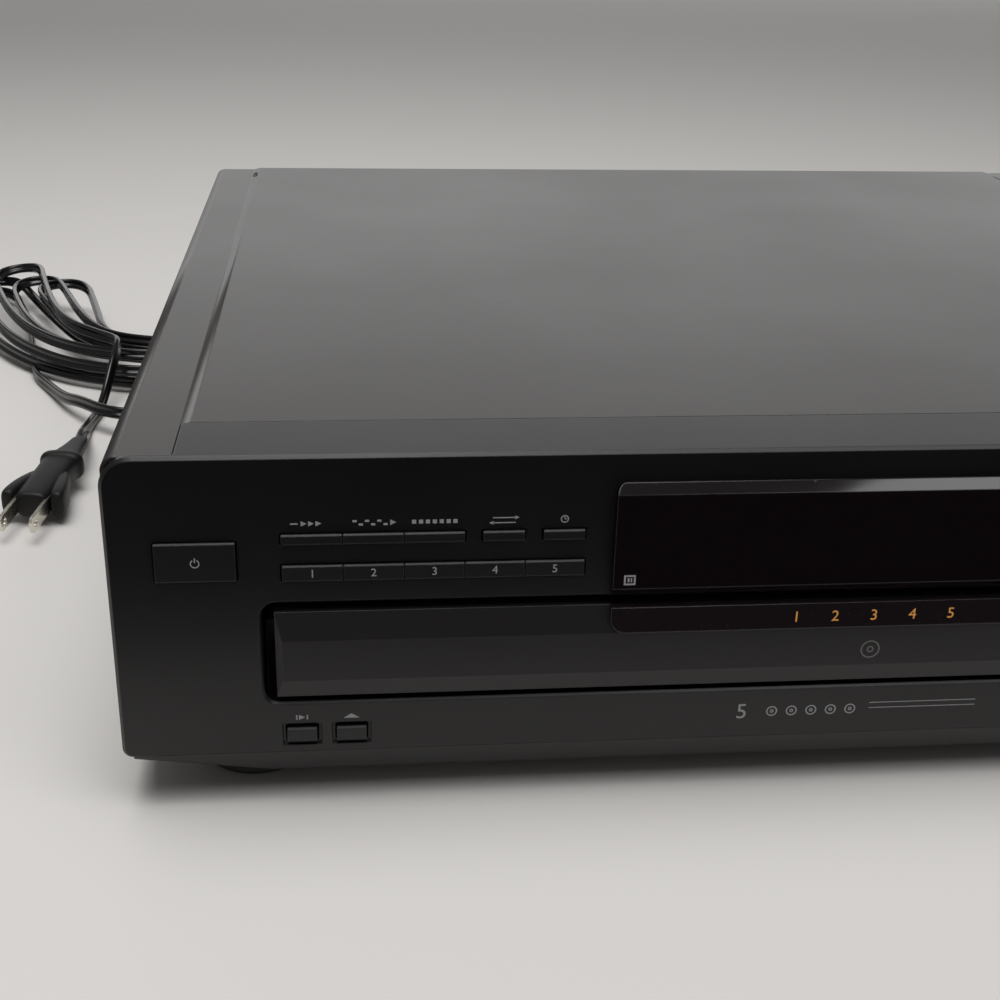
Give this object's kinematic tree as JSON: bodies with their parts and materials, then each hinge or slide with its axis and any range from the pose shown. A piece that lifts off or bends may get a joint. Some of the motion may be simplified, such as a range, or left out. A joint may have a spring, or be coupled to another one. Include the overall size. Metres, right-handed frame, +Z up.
{
  "type": "multi disc CD changer",
  "caption": "Low black hi-fi disc changer: a sliding drawer with a geared carousel of disc wells, lifting pickup, clamp, key rows, dial and a folded mains cord.",
  "frame": {"origin": "on the surface the feet stand on, under the middle of the cabinet with its dial and sockets, the mains cord left out", "axes": "+X to the right seen from the front, +Y from the front to the back, +Z up"},
  "size_m": [0.5969, 0.5561, 0.11],
  "materials": {
    "face_plastic": "moulded face, fine satin black",
    "cover_paint": "satin dark grey paint",
    "chassis_steel": "zinc-plated sheet steel",
    "rear_paint": "black paint",
    "foot_plastic": "moulded feet",
    "screw_black": "black screw heads",
    "window_gloss": "polished smoked acrylic",
    "board_green": "circuit board",
    "key_plastic": "satin key caps",
    "drawer_plastic": "satin drawer front",
    "tray_plastic": "moulded tray",
    "carousel_plastic": "moulded turntable",
    "gear_plastic": "natural acetal",
    "rail_plastic": "moulded rails",
    "motor_steel": "plated motor can",
    "mechanism_plastic": "moulded mechanism",
    "puck_plastic": "moulded clamp",
    "rod_steel": "ground rod",
    "lens_glass": "coated lens",
    "core_steel": "laminated core",
    "socket_metal": "gold-coloured plating",
    "socket_plastic": "moulded sockets",
    "cord_rubber": "glossy black flex",
    "blade_nickel": "nickel-plated blades",
    "knob_plastic": "satin knob"
  },
  "bodies": {
    "cabinet": {"front_panel": "face_plastic", "top_cover": "cover_paint", "bottom_chassis": "chassis_steel", "rear_panel": "rear_paint", "feet": "foot_plastic", "cover_screws": "screw_black", "display_window": "window_gloss", "front_boards": "board_green", "phones_jack": "socket_plastic", "left_rail": "rail_plastic", "right_rail": "rail_plastic", "clamp_bridge": "chassis_steel", "lift_base": "mechanism_plastic", "loading_drive": "mechanism_plastic", "main_board": "board_green", "transformer": "core_steel", "socket_collars": "socket_metal", "socket_cores": "socket_plastic", "cord_relief": "cord_rubber", "power_cord": "cord_rubber", "cord_hank": "cord_rubber", "cord_tail": "cord_rubber", "mains_plug": "cord_rubber", "plug_blades": "blade_nickel"},
    "drawer": {"drawer_tray": "tray_plastic", "drawer_front": "drawer_plastic", "drawer_nose": "window_gloss", "carousel_motor": "motor_steel", "carousel_cap": "puck_plastic"},
    "carousel_unit": {"carousel": "carousel_plastic"},
    "pinion_unit": {"carousel_pinion": "gear_plastic"},
    "loading_unit": {"loading_gear": "gear_plastic"},
    "lift_unit": {"optical_deck": "mechanism_plastic", "sled_rails": "rod_steel", "spindle_motor": "motor_steel"},
    "spindle_unit": {"disc_spindle": "puck_plastic"},
    "sled_unit": {"pickup_sled": "mechanism_plastic", "pickup_lens": "lens_glass"},
    "puck_unit": {"clamp_puck": "puck_plastic"},
    "dial_unit": {"jog_dial": "knob_plastic"},
    "level_unit": {"level_knob": "knob_plastic"},
    "power_button_unit": {"power_button": "key_plastic"},
    "continue_button_unit": {"continue_button": "key_plastic"},
    "shuffle_button_unit": {"shuffle_button": "key_plastic"},
    "program_button_unit": {"program_button": "key_plastic"},
    "repeat_button_unit": {"repeat_button": "key_plastic"},
    "time_button_unit": {"time_button": "key_plastic"},
    "disc_button_1_unit": {"disc_button_1": "key_plastic"},
    "disc_button_2_unit": {"disc_button_2": "key_plastic"},
    "disc_button_3_unit": {"disc_button_3": "key_plastic"},
    "disc_button_4_unit": {"disc_button_4": "key_plastic"},
    "disc_button_5_unit": {"disc_button_5": "key_plastic"},
    "play_button_unit": {"play_button": "key_plastic"},
    "pause_button_unit": {"pause_button": "key_plastic"},
    "stop_button_unit": {"stop_button": "key_plastic"},
    "skip_button_unit": {"skip_button": "key_plastic"},
    "exchange_button_unit": {"exchange_button": "key_plastic"},
    "open_button_unit": {"open_button": "key_plastic"},
    "scan_button_unit": {"scan_button": "key_plastic"},
    "fade_button_unit": {"fade_button": "key_plastic"}
  },
  "joints": [
    {"name": "drawer_slide", "type": "slide", "parent": "cabinet", "child": "drawer", "axis": [0, -1, 0], "range_m": [0, 0.19]},
    {"name": "carousel_spin", "type": "hinge", "parent": "drawer", "child": "carousel_unit", "pos_m": [0, -0.017, 0.044], "axis": [0, 0, 1], "continuous": true},
    {"name": "pinion_spin", "type": "hinge", "parent": "drawer", "child": "pinion_unit", "pos_m": [0.12728, -0.14428, 0.041], "axis": [0, 0, 1], "continuous": true},
    {"name": "loading_spin", "type": "hinge", "parent": "cabinet", "child": "loading_unit", "pos_m": [0.138, -0.164, 0.034], "axis": [0, 0, 1], "range_deg": [-907.2, 0]},
    {"name": "optical_lift", "type": "slide", "parent": "cabinet", "child": "lift_unit", "axis": [0, 0, 1], "range_m": [0, 0.011]},
    {"name": "disc_spin", "type": "hinge", "parent": "lift_unit", "child": "spindle_unit", "pos_m": [0, 0.087, 0.036], "axis": [0, 0, 1], "continuous": true},
    {"name": "sled_slide", "type": "slide", "parent": "lift_unit", "child": "sled_unit", "axis": [0, -1, 0], "range_m": [0, 0.034]},
    {"name": "clamp_spin", "type": "hinge", "parent": "cabinet", "child": "puck_unit", "pos_m": [0, 0.087, 0.055], "axis": [0, 0, 1], "continuous": true},
    {"name": "dial_spin", "type": "hinge", "parent": "cabinet", "child": "dial_unit", "pos_m": [0.187, -0.198, 0.084], "axis": [0, -1, 0], "continuous": true},
    {"name": "level_turn", "type": "hinge", "parent": "cabinet", "child": "level_unit", "pos_m": [0.1945, -0.198, 0.05], "axis": [0, -1, 0], "range_deg": [-140, 140]},
    {"name": "power_press", "type": "slide", "parent": "cabinet", "child": "power_button_unit", "axis": [0, 1, 0], "range_m": [0, 0.0008], "stiffness_N_per_m": 300},
    {"name": "continue_press", "type": "slide", "parent": "cabinet", "child": "continue_button_unit", "axis": [0, 1, 0], "range_m": [0, 0.0008], "stiffness_N_per_m": 300},
    {"name": "shuffle_press", "type": "slide", "parent": "cabinet", "child": "shuffle_button_unit", "axis": [0, 1, 0], "range_m": [0, 0.0008], "stiffness_N_per_m": 300},
    {"name": "program_press", "type": "slide", "parent": "cabinet", "child": "program_button_unit", "axis": [0, 1, 0], "range_m": [0, 0.0008], "stiffness_N_per_m": 300},
    {"name": "repeat_press", "type": "slide", "parent": "cabinet", "child": "repeat_button_unit", "axis": [0, 1, 0], "range_m": [0, 0.0008], "stiffness_N_per_m": 300},
    {"name": "time_press", "type": "slide", "parent": "cabinet", "child": "time_button_unit", "axis": [0, 1, 0], "range_m": [0, 0.0008], "stiffness_N_per_m": 300},
    {"name": "disc_1_press", "type": "slide", "parent": "cabinet", "child": "disc_button_1_unit", "axis": [0, 1, 0], "range_m": [0, 0.0008], "stiffness_N_per_m": 300},
    {"name": "disc_2_press", "type": "slide", "parent": "cabinet", "child": "disc_button_2_unit", "axis": [0, 1, 0], "range_m": [0, 0.0008], "stiffness_N_per_m": 300},
    {"name": "disc_3_press", "type": "slide", "parent": "cabinet", "child": "disc_button_3_unit", "axis": [0, 1, 0], "range_m": [0, 0.0008], "stiffness_N_per_m": 300},
    {"name": "disc_4_press", "type": "slide", "parent": "cabinet", "child": "disc_button_4_unit", "axis": [0, 1, 0], "range_m": [0, 0.0008], "stiffness_N_per_m": 300},
    {"name": "disc_5_press", "type": "slide", "parent": "cabinet", "child": "disc_button_5_unit", "axis": [0, 1, 0], "range_m": [0, 0.0008], "stiffness_N_per_m": 300},
    {"name": "play_press", "type": "slide", "parent": "cabinet", "child": "play_button_unit", "axis": [0, 1, 0], "range_m": [0, 0.0008], "stiffness_N_per_m": 300},
    {"name": "pause_press", "type": "slide", "parent": "cabinet", "child": "pause_button_unit", "axis": [0, 1, 0], "range_m": [0, 0.0008], "stiffness_N_per_m": 300},
    {"name": "stop_press", "type": "slide", "parent": "cabinet", "child": "stop_button_unit", "axis": [0, 1, 0], "range_m": [0, 0.0008], "stiffness_N_per_m": 300},
    {"name": "skip_press", "type": "slide", "parent": "cabinet", "child": "skip_button_unit", "axis": [0, 1, 0], "range_m": [0, 0.0008], "stiffness_N_per_m": 300},
    {"name": "exchange_press", "type": "slide", "parent": "cabinet", "child": "exchange_button_unit", "axis": [0, 1, 0], "range_m": [0, 0.0008], "stiffness_N_per_m": 300},
    {"name": "open_press", "type": "slide", "parent": "cabinet", "child": "open_button_unit", "axis": [0, 1, 0], "range_m": [0, 0.0008], "stiffness_N_per_m": 300},
    {"name": "scan_press", "type": "slide", "parent": "cabinet", "child": "scan_button_unit", "axis": [0, 1, 0], "range_m": [0, 0.0008], "stiffness_N_per_m": 300},
    {"name": "fade_press", "type": "slide", "parent": "cabinet", "child": "fade_button_unit", "axis": [0, 1, 0], "range_m": [0, 0.0008], "stiffness_N_per_m": 300}
  ],
  "couplings": [
    {"joint": "pinion_spin", "follows": "carousel_spin", "ratio": -7},
    {"joint": "loading_spin", "follows": "drawer_slide", "rad_per_m": -83.333}
  ]
}
